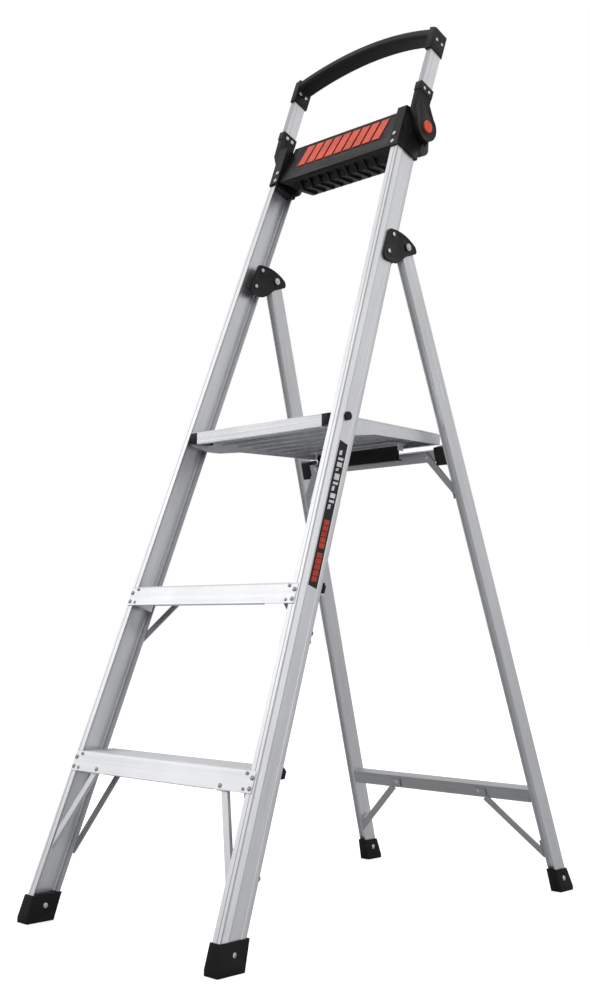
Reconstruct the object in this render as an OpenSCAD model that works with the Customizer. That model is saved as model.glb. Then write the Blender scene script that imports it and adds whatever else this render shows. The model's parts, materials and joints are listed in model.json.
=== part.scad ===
// Folding platform step stool: two steps, a platform, a tool tray and a folding handrail.
// Millimetres, +Z up, X to the user's right as seen from the front, Y towards the rear.
// The origin is on the ground, in the middle of the four feet.

/* [Front frame] */
// Outer width between the front rails at the ground
rail_width = 522; // [500:1:540]
// Lean of the front rails from vertical, in degrees
rail_lean = 20; // [19:0.5:21]
// Each rail's tilt towards the middle as it rises, in degrees
rail_splay = 2.95; // [2.8:0.05:3.1]
// Depth of a front rail, front to back
rail_depth = 54; // [52:1:56]
// Width of a rail's flanges
rail_flange = 19; // [18:0.5:20]
// Wall of the front rails
rail_wall = 2; // [1.8:0.1:2.2]

/* [Steps] */
// Height of the first tread and the spacing of the treads
step_rise = 305; // [300:1:308]
// Depth of a tread, front to back
tread_depth = 76; // [70:1:80]
// Height of the front skirt under a tread
skirt_height = 38; // [34:1:42]

/* [Platform] */
// Length of the platform behind its pivot
platform_reach = 317; // [300:1:320]
// Distance of the platform pivot up the rail
platform_pivot_up = 974.7; // [970:0.1:980]
// Depth of the front skirt of the platform
platform_skirt = 24; // [22:1:30]

/* [Rear frame] */
// Lean of the rear legs from vertical, in degrees
leg_lean = 18; // [17:0.5:19]
// Width of a rear leg, side to side
leg_width = 17; // [16:0.5:17]
// Depth of a rear leg, front to back
leg_depth = 33; // [31:1:33]
// Wall of the rear legs
leg_wall = 1.8; // [1.6:0.1:2]

/* [Handrail] */
// Distance of the handrail pivot up the rail
handrail_pivot_up = 1637.6; // [1634:0.1:1640]
// Distance of the handrail pivot behind the front of the rail
handrail_pivot_back = 47; // [46:0.5:48]
// Top of the grip, measured along the rail
grip_top = 1888; // [1870:1:1900]
// Thickness of the grip
grip_thick = 22; // [18:1:26]

/* [Hidden] */
$fn = 48;

// Small allowances
fit = 0.05;             // shaft in a hole, radial
gap = 0.3;              // neighbours that move past each other
eps = 0.01;
far = 3000;

// Places shared by the whole object
half_rail = rail_width / 2;
front_foot_front = 4;
rear_foot_back = 982;
mid_y = (front_foot_front + rear_foot_back) / 2;
sole = 5;               // thickness of rubber under the metal

// Rail frame: x across, y behind the front of the rail, z up along the rail.
rail_top = 1648;
taper = tan(rail_splay);
function rail_outer(up) = half_rail - taper * up;
function rail_inner(up) = rail_outer(up) - rail_flange;
function rail_y(back, up) = up * sin(rail_lean) + back * cos(rail_lean);
function rail_z(back, up) = up * cos(rail_lean) - back * sin(rail_lean);

// Web of a rail: a sloped front band, a flat recess for the label and a rear band
band_front = 15;
band_rear = 43;
band_step = 0.8;
front_slope = 2.5;

// Rear leg pivot, in the rail frame, and the same point in the world
leg_pivot_back = 82;
leg_pivot_up = 1376;
leg_pivot_y = rail_y(leg_pivot_back, leg_pivot_up);
leg_pivot_z = rail_z(leg_pivot_back, leg_pivot_up);
leg_splay = 3.3;
leg_outer_top = rail_outer(leg_pivot_up) - 1;
leg_length = leg_pivot_z / cos(leg_lean);
function leg_outer(down) = leg_outer_top + tan(leg_splay) * down;
function leg_inner(down) = leg_outer(down) - leg_width;

// Platform pivot and platform sizes
platform_pivot_back = 22.9;
platform_y = rail_y(platform_pivot_back, platform_pivot_up);
platform_z = rail_z(platform_pivot_back, platform_pivot_up);
platform_top = platform_z + 7;
platform_front = platform_y - 24;
platform_half = rail_inner(platform_pivot_up) - 1.6;
platform_rear = platform_y + platform_reach;
platform_rear_drop = 22;
platform_front_drop = 34;
block_width = 20;
block_length = 44;
block_drop = 19;
function platform_side(y) = platform_half - taper * (y - platform_y);

// Handrail, in the rail frame
arm_inner = 184.3;
arm_outer = 199;
arm_depth = 38;
arm_top = 1718;
arm_clear = 0.3;
tube_inner = 186;
tube_outer = 197;
tube_front = 3;
tube_back = 36;
tube_top = 1846;
boss_radius = 29;
grip_radius = 568;
grip_half = 183.5;
cap_bottom = 1803;
cap_outer = 199.5;
stub_radius = 11;
stub_end = 189.5;
button_radius = 12.5;
stem_radius = 6;
button_seat = 193.5;
button_rest = 197.4;
button_face = 202.5;

// Crossbars and blocks of the rear frame, as distances down the leg from the pivot
upper_bar_down = 411;
upper_bar_height = 22;
lower_bar_down = 1122;
lower_bar_height = 27;
bar_depth = 20;
block_bar_down = 412;
block_bar_height = 37;
block_bar_inner = 170;

rivet_radius = 2.4;
rivet_head = 4;
rivet_rise = 1.5;
pin_radius = 4;

silver = "#c9cbcf";
grey = "#9da0a6";
black = "#26272a";
red = "#d8452b";
rivet_grey = "#d5d7da";

// ---------- frames ----------
module world() translate([0, -mid_y, 0]) children();
module rail_frame() world() rotate([-rail_lean, 0, 0]) children();
module web_frame() rail_frame() translate([half_rail, 0, 0]) rotate([0, -rail_splay, 0]) children();
module leg_frame() world() translate([0, leg_pivot_y, leg_pivot_z]) rotate([leg_lean, 0, 0]) children();
module leg_web_frame() leg_frame() translate([leg_outer_top, 0, 0]) rotate([0, -leg_splay, 0]) children();
module on_side(side) {
    if (side < 0) mirror([1, 0, 0]) children();
    else children();
}
module both_sides() {
    children();
    mirror([1, 0, 0]) children();
}
// A box from its two corners
module block(low, high) translate(low) cube(high - low);
// A round bar along X from x0 to x1
module bar_x(x0, x1, r) translate([x0, 0, 0]) rotate([0, 90, 0]) cylinder(h = x1 - x0, r = r);
// A round bar along Y from y0 to y1
module bar_y(y0, y1, r) translate([0, y0, 0]) rotate([-90, 0, 0]) cylinder(h = y1 - y0, r = r);
// A blind rivet on a face at z = 0, with its shank going down into the metal
module rivet(shank, head = rivet_head) {
    translate([0, 0, -shank]) cylinder(h = shank + eps, r = rivet_radius - fit);
    cylinder(h = rivet_rise * 0.4, r = head);
    translate([0, 0, rivet_rise * 0.4]) cylinder(h = rivet_rise * 0.6, r1 = head, r2 = head * 0.55);
}
// Everything above the ground plane plus a rubber sole
module above_sole() world() translate([-far / 2, front_foot_front + 3, sole]) cube([far, far, far]);

// ---------- front rails ----------
module rail_profile() polygon([
    [-rail_flange, 0], [-front_slope, 0], [0, band_front],
    [0, band_front + 2], [-band_step, band_front + 2 + band_step],
    [-band_step, band_rear - band_step], [0, band_rear],
    [0, rail_depth - 2], [-2, rail_depth], [-rail_flange, rail_depth],
    [-rail_flange, rail_depth - rail_wall], [-rail_wall - 2, rail_depth - rail_wall],
    [-rail_wall - band_step, rail_depth - rail_wall - 1.2], [-rail_wall - band_step, band_front],
    [-rail_wall - front_slope, rail_wall], [-rail_flange, rail_wall]]);

module rail_solid() web_frame() linear_extrude(rail_top) rail_profile();

module rail(side) color(silver) on_side(side) difference() {
    intersection() {
        rail_solid();
        above_sole();
    }
    step_rivet_places() cylinder(h = 20, r = rivet_radius, center = true);
    bracket_rivet_places() cylinder(h = 2 * rail_flange, r = rivet_radius, center = true);
    tray_rivet_places() cylinder(h = 20, r = rivet_radius, center = true);
    rear_brace_rail_places() cylinder(h = 20, r = rivet_radius, center = true);
    rail_frame() translate([0, platform_pivot_back, platform_pivot_up]) bar_x(150, 260, pin_radius + fit);
    front_foot_place() cylinder(h = 80, r = rivet_radius, center = true);
}

// ---------- steps ----------
lower_z = step_rise - 5;
middle_z = lower_z + step_rise;
function step_up(z) = z / cos(rail_lean);
rivet_pitch = 17.5;

// Rivets through the skirt and the front flange, on the right side
module step_rivet_places() for (z = [lower_z, middle_z])
    for (k = [0, 1])
        rail_frame() translate([rail_outer(step_up(z)) - 9.5, -rail_wall, step_up(z) - 13 - k * rivet_pitch])
            rotate([90, 0, 0]) children();

// Rivets at the corners of the skirt, which hold the tread's end plate
module corner_rivet_places() for (z = [lower_z, middle_z])
    for (k = [0, 1])
        rail_frame() translate([rail_inner(step_up(z)) - 5, -rail_wall, step_up(z) - 6 - k * 26])
            rotate([90, 0, 0]) children();

module step_profile(z) {
    y0 = z * tan(rail_lean);
    s = sin(rail_lean);
    c = cos(rail_lean);
    w = rail_wall;
    y_back = y0 + tread_depth;
    // tread, front skirt and rear skirt as one extrusion
    polygon([
        [y0 - w * c - 0.4, z - 3], [y0 - w * c + 1.6, z - 0.8], [y_back, z - 0.8], [y_back, z - 20],
        [y_back - 7, z - 20], [y_back - 7, z - 18], [y_back - w, z - 18], [y_back - w, z - 3],
        [y0 + 1.2, z - 3], [y0 - 3 * s / c, z - 3],
        [y0 - skirt_height * s, z - skirt_height * c],
        [y0 - skirt_height * s - w * c, z - skirt_height * c + w * s]]);
}
module x_extrude(half) rotate([90, 0, 90]) translate([0, 0, -half]) linear_extrude(2 * half) children();

module step(z) color(silver) {
    up = step_up(z);
    full = rail_outer(up - skirt_height) - 6.5;
    inner = rail_inner(up) - 0.2;
    y0 = z * tan(rail_lean);
    difference() {
        union() {
            // skirt across the flanges
            intersection() {
                world() x_extrude(full) step_profile(z);
                rail_frame() block([-full, -4, up - skirt_height - 5], [full, 0, up + 1]);
            }
            // tread between the rails
            difference() {
                world() x_extrude(inner) step_profile(z);
                rail_frame() block([-far, -4, up - skirt_height - 5], [far, 0, up - 3.4]);
            }
            // ribs on the tread
            for (k = [0:9])
                world() block([-inner, y0 + 4 + k * 7, z - 0.9], [inner, y0 + 7 + k * 7, z]);
            // lower return lip of the skirt
            rail_frame() block([-148, -eps, up - skirt_height], [148, 5, up - skirt_height + rail_wall]);
            // end plates that stand against the rails' inner edges
            both_sides() step_end_plate(z);
        }
        both_sides() step_rivet_places() cylinder(h = 20, r = rivet_radius, center = true);
        both_sides() corner_rivet_places() cylinder(h = 20, r = rivet_radius, center = true);
        both_sides() front_brace_skirt_place() cylinder(h = 20, r = rivet_radius, center = true);
    }
}
module step_end_plate(z) {
    up = step_up(z);
    x1 = rail_inner(up) - 0.2;
    rail_frame() block([x1 - 10, -eps, up - 35], [x1, 2, up - 4]);
    rail_frame() block([x1 - 2, -eps, up - 35], [x1, 46, up - 4]);
}
// Rivets of the steps and of their knee braces
module step_rivets() color(rivet_grey) both_sides() {
    front_brace_skirt_place() rivet(rail_wall + 2.4);
    rear_brace_rail_places() rivet(3 + rail_wall, 5);
    step_rivet_places() rivet(2 * rail_wall);
    corner_rivet_places() rivet(rail_wall + 2, 3);
}

// ---------- knee braces ----------
brace_width = 13;
// Brace centre lines in the rail frame: [x at top, up at top, x at foot, up at foot]
front_line = [166, 300, 239, 141];
rear_line = [155, 334, 238, 145];
middle_line = [118, 660, 222, 556];

// A shallow channel lying in a plane of the rail frame, from one point to the other
module brace_channel(line, back, lips) {
    dx = line[2] - line[0];
    du = line[3] - line[1];
    long = sqrt(dx * dx + du * du);
    rail_frame() translate([line[0], back, line[1]]) rotate([0, 90 - atan2(du, dx) , 0])
        difference() {
            block([-brace_width / 2, 0, 0], [brace_width / 2, lips, long]);
            block([-brace_width / 2 + 2, 2, -1], [brace_width / 2 - 2, lips + 1, long + 1]);
        }
}
module front_brace_skirt_place() rail_frame()
    translate([front_line[0], -rail_wall, front_line[1] - 12]) rotate([90, 0, 0]) children();

module front_brace(side) color(silver) on_side(side) difference() {
    intersection() {
        union() {
            brace_channel(front_line, 2 + gap, 7);
            // tab that lies behind the skirt
            rail_frame() block([front_line[0] - 8, 0, front_line[1] - 20], [front_line[0] + 14, 2.4, front_line[1] - 4]);
        }
        rail_frame() block([0, -1, 100], [rail_outer(150) - 6, 20, front_line[1]]);
    }
    front_brace_skirt_place() cylinder(h = 30, r = rivet_radius, center = true);
}
// Rear braces lie against the back of the rails
module rear_brace_rail_places() for (line = [rear_line, middle_line])
    rail_frame() translate([rail_outer(line[3]) - 8.5, rail_depth + 3, line[3] + 16]) rotate([-90, 0, 0]) children();

module rear_brace(side, line, z) color(grey) on_side(side) difference() {
    intersection() {
        union() {
            rail_frame() translate([line[0], rail_depth, line[1]])
                rotate([0, 90 - atan2(line[3] - line[1], line[2] - line[0]), 0])
                    block([-brace_width / 2, 0, -10],
                        [brace_width / 2, 3, norm([line[2] - line[0], line[3] - line[1]]) + 6]);
            world() block([line[0] - 12, rail_y(rail_depth, step_up(z) + 20) - 3, z - 6],
                [line[0] + 12, rail_y(rail_depth, step_up(z) + 20) + 14, z - 3.1]);
        }
        world() translate([-far, -far, 0]) cube([2 * far, 2 * far, far]);
        world() translate([-far, -far, -far]) cube([2 * far, 2 * far, far + z - 3.1]);
        rail_frame() block([0, 0, line[3] - 4], [rail_outer(line[3]) - 3, 100, far]);
    }
    rear_brace_rail_places() cylinder(h = 30, r = rivet_radius, center = true);
}

// ---------- front feet ----------
boot_wall = 2.5;
boot_top = 48;
foot_back_y = 61;

foot_head = 4.2;
front_foot_width = rail_flange + 2 * boot_wall;
module foot_rivet_cut(width) {
    translate([0, 0, -width - 20]) cylinder(h = width + 40, r = rivet_radius);
    cylinder(h = 20, r = foot_head + 0.6);
    translate([0, 0, -width - 20]) cylinder(h = 20, r = foot_head + 0.6);
}
module front_foot_place() rail_frame() translate([rail_outer(41) + boot_wall, 31, 41]) rotate([0, 90, 0]) children();
module front_foot(side) color(black) on_side(side) difference() {
    hull() {
        intersection() {
            web_frame() block([-rail_flange - boot_wall, -boot_wall, 20], [boot_wall, rail_depth + boot_wall, 90]);
            world() block([0, -100, boot_top - 1], [400, 200, boot_top]);
        }
        world() block([half_rail - rail_flange - 6, front_foot_front, 0], [half_rail + 6, foot_back_y, 9]);
    }
    rail_cavity();
    front_foot_place() foot_rivet_cut(front_foot_width);
}
// The space of the whole rail section, walls and channel together, cut off at the sole
module rail_cavity() intersection() {
    web_frame() linear_extrude(200) rail_profile();
    above_sole();
}
// Through rivet, with a head in a counterbore on each side of the boot
module foot_rivet(width) {
    translate([0, 0, -width]) cylinder(h = width, r = rivet_radius - fit);
    cylinder(h = rivet_rise, r1 = foot_head, r2 = foot_head * 0.6);
    translate([0, 0, -width]) mirror([0, 0, 1]) cylinder(h = rivet_rise, r1 = foot_head, r2 = foot_head * 0.6);
}
module front_foot_rivets() color(rivet_grey) both_sides() front_foot_place() foot_rivet(front_foot_width);

// ---------- hinge brackets for the rear legs ----------
bracket_thick = 4;
bracket_rivet_spots = [[38, 1380], [35, 1340]];
module bracket_plate() difference() {
    linear_extrude(bracket_thick) polygon(bracket_outline());
    for (spot = bracket_rivet_spots)
        translate([spot[0], spot[1], -5]) cylinder(h = 20, r = rivet_radius);
}
function arc_points(c, r, a0, a1, n) = [for (k = [0:n]) c + r * [cos(a0 + (a1 - a0) * k / n), sin(a0 + (a1 - a0) * k / n)]];
function bracket_outline() = concat(
    arc_points([33, 1379], 10, 180, 125, 3),
    arc_points([72, 1300], 97.5, 112, 71, 6),
    arc_points([103, 1383], 7, 55, -60, 4),
    [[97, 1369], [84, 1358], [72, 1339]],
    arc_points([55, 1338], 12, -40, -80, 2),
    arc_points([33, 1331], 11, -90, -180, 4));
// Turns an outline drawn as [back, up] into the rail's side plane
module side_plane(x) translate([x, 0, 0]) rotate([90, 0, 90]) children();

module bracket_rivet_places() web_frame() for (spot = bracket_rivet_spots)
    translate([bracket_thick, spot[0], spot[1]]) rotate([0, 90, 0]) children();
module inner_bracket_rivet_places() web_frame() for (spot = bracket_rivet_spots)
    translate([-rail_flange - bracket_thick, spot[0], spot[1]]) rotate([0, -90, 0]) children();

module leg_pin_bore(r) rail_frame() translate([0, leg_pivot_back, leg_pivot_up]) bar_x(100, 300, r);
module bracket_outer(side) color(black) on_side(side) difference() {
    web_frame() side_plane(0) bracket_plate();
    leg_pin_bore(pin_radius + fit);
}
module bracket_inner(side) color(black) on_side(side) difference() {
    web_frame() side_plane(-rail_flange - bracket_thick) bracket_plate();
    leg_pin_bore(pin_radius + fit);
}
module bracket_rivets() color(rivet_grey) both_sides() {
    bracket_rivet_places() rivet(bracket_thick + rail_wall + 1);
    inner_bracket_rivet_places() rivet(bracket_thick + 6);
}
module leg_pivot_pins() color(rivet_grey) both_sides() {
    x0 = rail_outer(leg_pivot_up) - rail_flange - bracket_thick - 4;
    x1 = rail_outer(leg_pivot_up) + bracket_thick + 4;
    rail_frame() translate([0, leg_pivot_back, leg_pivot_up]) {
        bar_x(x0, x1, pin_radius);
        bar_x(x1 - 2.6, x1 - 0.8, 7);
        bar_x(x0 + 0.8, x0 + 2.6, 7);
    }
}

// ---------- rubber stops behind the rails ----------
bumper_spots = [331, 657];
module leg_bumpers() color(black) both_sides()
    for (up = bumper_spots)
        web_frame() translate([-rail_flange + 1, rail_depth, up - 9]) {
            block([0, 0, 0], [16, 6, 18]);
            block([2, 6 - eps, 2], [14, 11.2, 16]);
        }

// ---------- plain label on the right rail ----------
module side_label() color(black) web_frame()
    block([-band_step, band_front + 4, 648], [-band_step + 0.4, band_rear - 2.5, 926]);

// ---------- tool tray between the tops of the rails ----------
tray_half = 155.6;
tray_mouth = 1546;
tray_base = 1457;
module tray_rivet_places() for (up = [1579, 1598])
    rail_frame() translate([163.5, -3, up]) rotate([90, 0, 0]) children();

module tray_section() polygon([
    [539, 1478], [543, 1474], [558, 1468], [562, tray_base], [602, tray_base + 2], [612, 1460],
    [648, tray_mouth - 8], [650, tray_mouth - 8], [650, tray_mouth], [586, tray_mouth],
    [597, 1563], [595, 1567], [591, 1567]]);

// Slope of the front panel
module tray_panel() world() translate([0, 539, 1478]) rotate([-atan2(52, 89), 0, 0]) children();

module tool_tray() color(black) {
    difference() {
        intersection() {
            world() x_extrude(tray_half) tray_section();
            // ends that narrow towards the bottom
            world() rotate([90, 0, 0]) translate([0, 0, -700]) linear_extrude(200) polygon([
                [-tray_half, 1580], [tray_half, 1580], [tray_half, 1478], [134, 1470], [118, tray_base - 1],
                [-118, tray_base - 1], [-134, 1470], [-tray_half, 1478]]);
        }
        // three compartments
        for (span = [[-148, -62], [-57, 57], [62, 148]])
            tray_pocket(span[0], span[1]);
        // shallow field across the front panel
        tray_panel() block([-128, -1.5, 29], [128, 0.6, 98]);
    }
}
module tray_pocket(x0, x1) world() difference() {
    rotate([90, 0, 90]) translate([0, 0, x0]) linear_extrude(x1 - x0) polygon([
        [592, 1560], [579, 1536], [572, 1466], [600, 1464], [642, 1540], [642, 1560]]);
    for (side = [-1, 1])
        rotate([90, 0, 0]) translate([0, 0, -700]) linear_extrude(200)
            polygon([[side * 160, 1600], [side * 150.5, 1500], [side * 112, 1440], [side * 160, 1440]]);
}
// Row of plain slanted bars set into the front panel
module tray_inlay() color(red) tray_panel()
    for (k = [-4:4])
        translate([k * 26, 0, 0]) rotate([90, 0, 0]) translate([0, 0, -0.6]) linear_extrude(1.4)
            polygon([[-12, 36], [8, 36], [14, 92], [-6, 92]]);

// ---------- housings on the rail tops ----------
housing_bottom = 1568;
housing_top = 1662;
housing_outer = arm_inner - arm_clear;
module housing(side) color(black) on_side(side) difference() {
    union() {
        intersection() {
            rail_frame() block([tray_half + 0.2, -3, housing_bottom], [housing_outer, rail_depth + 3, housing_top]);
            // bevelled front outer corner
            rail_frame() linear_extrude(far) polygon([
                [0, -5], [rail_outer(1600) - 1, -5], [housing_outer, 14], [housing_outer, 100], [0, 100]]);
        }
        // round pivot plate behind the rail
        rail_frame() side_plane(rail_outer(housing_top) - 6) linear_extrude(housing_outer - rail_outer(housing_top) + 6)
            polygon(concat(
                arc_points([handrail_pivot_back, handrail_pivot_up], 30, 75, -20, 8),
                arc_points([62, 1606], 19, 0, -110, 8),
                [[20, 1580], [20, housing_top - 4]]));
        // hollow stub that carries the arm
        handrail_axis() bar_x(170, stub_end, stub_radius);
    }
    rail_solid();
    handrail_axis() bar_x(171, 230, stem_radius + fit);
    tray_rivet_places() cylinder(h = 20, r = rivet_radius, center = true);
}
module handrail_axis() rail_frame() translate([0, handrail_pivot_back, handrail_pivot_up]) children();
module tray_rivets() color(rivet_grey) both_sides() tray_rivet_places() rivet(3 + rail_wall);

// ---------- platform ----------
module platform_bolts() color(black) both_sides()
    rail_frame() translate([0, platform_pivot_back, platform_pivot_up]) {
        web = rail_outer(platform_pivot_up);
        bar_x(platform_half - block_width + 4, web + 3, pin_radius);
        bar_x(web + 0.1, web + 4.5, 8);
    }
module platform_spacers() color(black) both_sides()
    rail_frame() translate([0, platform_pivot_back, platform_pivot_up]) difference() {
        bar_x(rail_inner(platform_pivot_up) - 0.8, rail_outer(platform_pivot_up) - rail_wall - band_step - 0.8, 9);
        bar_x(0, 300, pin_radius + fit);
    }

module platform_outline(low, high) world() translate([0, 0, low]) linear_extrude(high - low) polygon([
    [-platform_side(platform_front), platform_front], [platform_side(platform_front), platform_front],
    [platform_side(platform_rear), platform_rear], [-platform_side(platform_rear), platform_rear]]);

deck_wall = 2.2;
deck_inset = 2.6;
module deck_section() {
    t = platform_top;
    polygon([[platform_front, t - platform_skirt], [platform_front, t - 2], [platform_front + 2, t - 1],
        [platform_rear - 2, t - 1], [platform_rear, t - 3], [platform_rear, t - platform_rear_drop],
        [platform_rear - 8, t - platform_rear_drop], [platform_rear - 8, t - platform_rear_drop + 2],
        [platform_rear - 2, t - platform_rear_drop + 2], [platform_rear - 2, t - 1 - deck_wall],
        [platform_front + 2, t - 1 - deck_wall], [platform_front + 2, t - platform_skirt + 2],
        [platform_front + 10, t - platform_skirt + 2], [platform_front + 10, t - platform_skirt]]);
}
rib_count = 7;
rib_pitch = 40;
module platform_deck() color(silver) difference() {
    intersection() {
        union() {
            world() x_extrude(platform_half + 5) deck_section();
            // stiffening ribs under the deck
            for (k = [0:rib_count - 1])
                world() translate([0, platform_front + 44 + k * rib_pitch, 0])
                    block([-far / 2, 0, platform_top - 18], [far / 2, 3, platform_top - 3]);
            // fine ribs on top
            for (k = [0:44])
                world() translate([0, platform_front + 4 + k * 7.4, 0])
                    block([-far / 2, 0, platform_top - 1.1], [far / 2, 3, platform_top]);
        }
        difference() {
            platform_outline(platform_top - 60, platform_top + 1);
            both_sides() world() translate([platform_half, platform_y, platform_top - 60])
                rotate([0, 0, rail_splay]) block([-deck_inset, -100, 0], [50, 500, 57]);
        }
    }
    both_sides() world() block([platform_half - block_width, platform_front - 5, platform_top - 60],
        [400, platform_front + block_length, platform_top - 1.2]);
    both_sides() world() block([platform_half - block_width, platform_front - 5, platform_top - 60],
        [400, platform_front + 3, platform_top + 5]);
}
module platform_side_plate(side) color(silver) on_side(side) difference() {
    intersection() {
        platform_outline(0, platform_top - 3.2);
        world() translate([platform_half, platform_y, platform_top - 60])
            rotate([0, 0, rail_splay]) block([-deck_inset + 0.2, -100, 0], [50, 500, 80]);
        world() rotate([90, 0, 90]) linear_extrude(300) polygon([
            [platform_front + 2, platform_top], [platform_front + 2, platform_top - platform_skirt],
            [platform_front + block_length, platform_top - platform_front_drop],
            [platform_front + 1.7 * block_length, platform_top - platform_front_drop],
            [platform_front + 3 * block_length, platform_top - platform_front_drop + 8],
            [platform_rear, platform_top - platform_rear_drop], [platform_rear, platform_top]]);
    }
    world() block([0, platform_front - 5, platform_top - block_drop - 3], [400, platform_front + block_length, platform_top + 5]);
}
module platform_block(side) color(black) on_side(side) difference() {
    world() block([platform_half - block_width + 0.2, platform_front, platform_top - block_drop - 3],
        [platform_half, platform_front + block_length - 0.2, platform_top - 1.2]);
    rail_frame() translate([0, platform_pivot_back, platform_pivot_up]) bar_x(100, 300, pin_radius + fit);
}

// Spring lever under the rear of the deck, with its pin along X
latch_y = platform_y + 268;
latch_z = platform_top - 27;
latch_half = 110;
bracket_top = platform_top - 18;
module latch_bracket() color(silver) world() {
    block([-latch_half - 6, latch_y - 22, bracket_top - 2.4], [latch_half + 6, latch_y + 14, bracket_top]);
    for (side = [-1, 1])
        block([side * (latch_half + 2) - 1.5, latch_y - 7, latch_z - 6],
            [side * (latch_half + 2) + 1.5, latch_y + 7, bracket_top - 1]);
    translate([0, latch_y, latch_z]) bar_x(-latch_half - 3, latch_half + 3, 3);
}
module platform_latch() color(black) world() translate([0, latch_y, latch_z]) difference() {
    union() {
        bar_x(-latch_half, latch_half, 5);
        block([-latch_half, -5, -24], [latch_half, -1.5, 0]);
        block([-latch_half, -5, -26], [latch_half, 6, -23]);
    }
    bar_x(-latch_half - 5, latch_half + 5, 3 + fit);
}

// ---------- rear legs ----------
leg_groove = 5;
module leg_profile() {
    half = leg_depth / 2;
    difference() {
        polygon([
            [0, half], [-leg_width, half], [-leg_width, -half], [-leg_width + leg_wall, -half],
            [-leg_width + leg_wall, -half + leg_groove], [-leg_wall, -half + leg_groove], [-leg_wall, -half],
            [0, -half], [0, 1], [-0.5, 1.5], [-0.5, 2.5], [0, 3]]);
        polygon([
            [-leg_wall, half - leg_wall], [-leg_width + leg_wall, half - leg_wall],
            [-leg_width + leg_wall, -half + leg_groove + leg_wall], [-leg_wall, -half + leg_groove + leg_wall]]);
    }
}
module leg(side) color(grey) on_side(side) difference() {
    intersection() {
        leg_web_frame() translate([0, 0, -leg_length - 20]) linear_extrude(leg_length + 60) leg_profile();
        above_sole();
        leg_frame() union() {
            translate([0, -50, -far]) cube([400, 100, far]);
            bar_x(100, 300, leg_depth / 2 + 0.5);
        }
    }
    leg_frame() bar_x(100, 300, pin_radius + 3.05);
    strut_leg_places() cylinder(h = 12, r = rivet_radius, center = true);
    rear_foot_place() cylinder(h = 80, r = rivet_radius, center = true);
}
// Round spacers that turn on the pivot pins inside the legs
module leg_bushes() color(black) both_sides() leg_frame() difference() {
    union() {
        bar_x(leg_inner(0) - 0.4, leg_outer(0) + 0.4, pin_radius + 3);
        bar_x(leg_inner(0) + leg_wall + 0.4, leg_outer(0) - leg_wall - 0.4, 9);
    }
    bar_x(100, 300, pin_radius + fit);
}
module crossbar(down, height, half) leg_frame() translate([0, -leg_depth / 2, -down]) difference() {
    block([-half, 0, -height / 2], [half, bar_depth, height / 2]);
    block([-half - 1, 2, -height / 2 + 2], [half + 1, bar_depth - 2, height / 2 - 2]);
}
module crossbar_upper() color(grey) difference() {
    crossbar(upper_bar_down, upper_bar_height, block_bar_inner - 0.1);
    both_sides() upper_strut_bar_place() cylinder(h = 12, r = rivet_radius, center = true);
}
module crossbar_lower() color(grey) difference() {
    crossbar(lower_bar_down, lower_bar_height, leg_inner(lower_bar_down - lower_bar_height / 2) - 0.3);
    both_sides() lower_strut_bar_place() cylinder(h = 12, r = rivet_radius, center = true);
}
module bar_block(side) color(black) on_side(side) difference() {
    intersection() {
        leg_frame() block([block_bar_inner, -leg_depth / 2, -block_bar_down - block_bar_height / 2],
            [400, leg_depth / 2 - 6, -block_bar_down + block_bar_height / 2]);
        leg_web_frame() block([-400, -100, -600], [-leg_width, 100, -200]);
        world() block([0, 0, 0], [400, 2000, platform_top - platform_rear_drop - 0.3]);
    }
    leg_frame() block([block_bar_inner - 1, -leg_depth / 2 + 30, -900], [block_bar_inner + 8, 50, 0]);
}

// ---------- struts of the rear frame ----------
strut_width = 14;
strut_thick = 3;
upper_strut = [152, 411, 210, 492];
lower_strut = [124, 1134, 228, 1228];
module upper_strut_bar_place() leg_frame()
    translate([upper_strut[0], -leg_depth / 2, -upper_strut[1]]) rotate([90, 0, 0]) children();
module lower_strut_bar_place() leg_frame()
    translate([lower_strut[0] - 14, -leg_depth / 2, -lower_bar_down]) rotate([90, 0, 0]) children();
module strut_leg_places() for (line = [upper_strut, lower_strut])
    leg_web_frame() translate([-leg_width, -leg_depth / 2 + 11, -line[3] + 2]) rotate([0, -90, 0]) children();

module strut(line, inner_end) {
    dx = line[2] - line[0];
    dd = line[3] - line[1];
    leg_frame() translate([line[0], -leg_depth / 2 - strut_thick, -line[1]])
        rotate([0, 90 + atan2(dd, dx), 0]) block([-strut_width / 2, 0, inner_end], [strut_width / 2, strut_thick, norm([dx, dd]) + 30]);
}
// Tab on the side of the leg, where the strut ends
module strut_tab(line) intersection() {
    leg_web_frame() block([-leg_width - 2.5, -leg_depth / 2 - strut_thick + 0.3, -line[3] - 7],
        [-leg_width, -leg_depth / 2 + 15, -line[3] + 11]);
    leg_frame() block([0, -100, -far], [400, 100, 0]);
}
module strut_trim() leg_web_frame() block([-400, -100, -far], [-leg_width, 100, 200]);

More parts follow.
